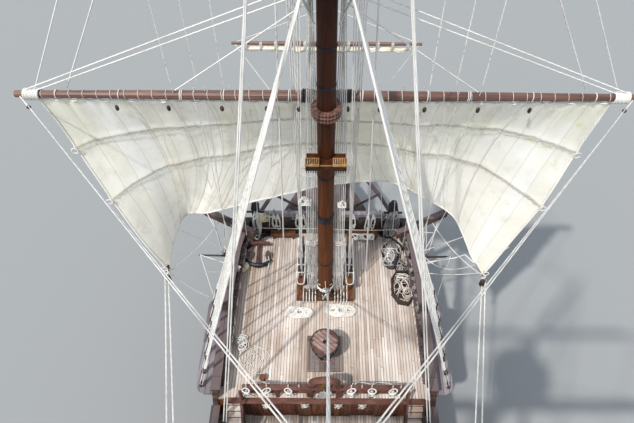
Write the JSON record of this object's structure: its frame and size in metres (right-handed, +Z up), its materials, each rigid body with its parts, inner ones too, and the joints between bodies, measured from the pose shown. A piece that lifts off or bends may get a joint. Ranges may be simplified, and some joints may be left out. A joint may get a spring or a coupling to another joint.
{
  "type": "tall ship, three-masted galleon, 1:2 scale model",
  "caption": "Three-masted galleon with a set fore course, square beakhead, high stern, braced yards and open upper decks.",
  "frame": {"origin": "at the waterline, amidships, on the centre line", "axes": "+X forward to the bowsprit, +Y to port, +Z up along the masts"},
  "size_m": [24.2735, 10.4, 20.25],
  "materials": {
    "deck_planks": "weathered bare planks",
    "side_planks": "oiled planks with pitched seams",
    "dark_timber": "tarred timber",
    "mast_varnish": "varnished spar",
    "yard_varnish": "varnished spar, worn",
    "canvas": "wet cream sailcloth with stains",
    "rope": "laid rope",
    "grey_board": "weathered grey board",
    "rail_timber": "weathered rail timber",
    "door_wood": "varnished panels",
    "iron": "painted iron",
    "lantern_metal": "aged brass with glass"
  },
  "bodies": {
    "hull": {"hull_lower": "side_planks", "keel_and_posts": "side_planks", "transom": "side_planks", "forecastle_side_port": "side_planks", "forecastle_side_starboard": "side_planks", "waist_side_port": "side_planks", "waist_side_starboard": "side_planks", "quarter_side_port": "side_planks", "quarter_side_starboard": "side_planks", "main_deck": "deck_planks", "forecastle_deck": "deck_planks", "quarterdeck": "deck_planks", "poop_deck": "deck_planks", "fore_channel_port": "grey_board", "fore_channel_starboard": "grey_board", "main_channel_port": "grey_board", "main_channel_starboard": "grey_board", "forecastle_bulkhead": "door_wood", "quarterdeck_bulkhead": "door_wood", "poop_bulkhead": "door_wood", "bow_bulkhead": "dark_timber", "capstan_bed": "dark_timber", "beakhead": "rail_timber", "foremast_top": "rail_timber", "mainmast_top": "rail_timber", "forecastle_rail": "rail_timber", "quarterdeck_rail": "rail_timber", "poop_rail": "rail_timber", "main_hatch": "rail_timber", "foremast": "mast_varnish", "foremast_topmast": "mast_varnish", "mainmast": "mast_varnish", "mainmast_topmast": "mast_varnish", "mizzenmast": "mast_varnish", "foremast_bitts": "mast_varnish", "bowsprit": "yard_varnish", "fore_stay": "rope", "main_stay": "rope", "mizzen_stay": "rope", "stern_lantern": "lantern_metal", "deck_anchor": "iron"},
    "rudder": {"rudder": "side_planks"},
    "capstan": {"capstan": "mast_varnish"},
    "fore_yard": {"fore_yard": "yard_varnish", "fore_course": "canvas"},
    "main_yard": {"main_yard": "yard_varnish", "main_course": "canvas"},
    "fore_topsail_yard": {"fore_topsail_yard": "yard_varnish", "fore_topsail": "canvas"},
    "main_topsail_yard": {"main_topsail_yard": "yard_varnish", "main_topsail": "canvas"},
    "spritsail_yard": {"spritsail_yard": "yard_varnish", "spritsail": "canvas"},
    "lateen_yard": {"lateen_yard": "yard_varnish", "mizzen_sail": "canvas"},
    "forecastle_door_port": {"forecastle_door_port": "door_wood"},
    "forecastle_door_starboard": {"forecastle_door_starboard": "door_wood"},
    "quarterdeck_door": {"quarterdeck_door": "door_wood"},
    "poop_door": {"poop_door": "door_wood"}
  },
  "joints": [
    {"name": "rudder_turn", "type": "hinge", "parent": "hull", "child": "rudder", "pos_m": [-9.06, 0, 0], "axis": [-0.2873, 0, 0.9578], "range_deg": [-35, 35]},
    {"name": "capstan_turn", "type": "hinge", "parent": "hull", "child": "capstan", "pos_m": [4.3, 0, 3], "axis": [0, 0, 1], "continuous": true},
    {"name": "fore_yard_brace", "type": "hinge", "parent": "hull", "child": "fore_yard", "pos_m": [5.75, 0, 8], "axis": [0, 0, 1], "range_deg": [-20, 20]},
    {"name": "main_yard_brace", "type": "hinge", "parent": "hull", "child": "main_yard", "pos_m": [-0.5, 0, 9.8], "axis": [0, 0, 1], "range_deg": [-20, 20]},
    {"name": "fore_topsail_yard_brace", "type": "hinge", "parent": "hull", "child": "fore_topsail_yard", "pos_m": [6.06, 0, 11.65], "axis": [0, 0, 1], "range_deg": [-20, 20]},
    {"name": "main_topsail_yard_brace", "type": "hinge", "parent": "hull", "child": "main_topsail_yard", "pos_m": [-0.19, 0, 13.75], "axis": [0, 0, 1], "range_deg": [-20, 20]},
    {"name": "spritsail_yard_brace", "type": "hinge", "parent": "hull", "child": "spritsail_yard", "pos_m": [12.35, 0, 4.5], "axis": [0, 0, 1], "range_deg": [-20, 20]},
    {"name": "lateen_yard_brace", "type": "hinge", "parent": "hull", "child": "lateen_yard", "pos_m": [-5.2, 0, 7], "axis": [0, 0, 1], "range_deg": [-20, 20]},
    {"name": "forecastle_door_port_swing", "type": "hinge", "parent": "hull", "child": "forecastle_door_port", "pos_m": [3.425, 1.0121, 2], "axis": [0, 0, -1], "range_deg": [0, 110]},
    {"name": "forecastle_door_starboard_swing", "type": "hinge", "parent": "hull", "child": "forecastle_door_starboard", "pos_m": [3.425, -1.0121, 2], "axis": [0, 0, 1], "range_deg": [0, 110]},
    {"name": "quarterdeck_door_swing", "type": "hinge", "parent": "hull", "child": "quarterdeck_door", "pos_m": [-2.775, 0.2121, 2], "axis": [0, 0, 1], "range_deg": [0, 110]},
    {"name": "poop_door_swing", "type": "hinge", "parent": "hull", "child": "poop_door", "pos_m": [-6.025, 0.2121, 3.25], "axis": [0, 0, 1], "range_deg": [0, 110]}
  ]
}
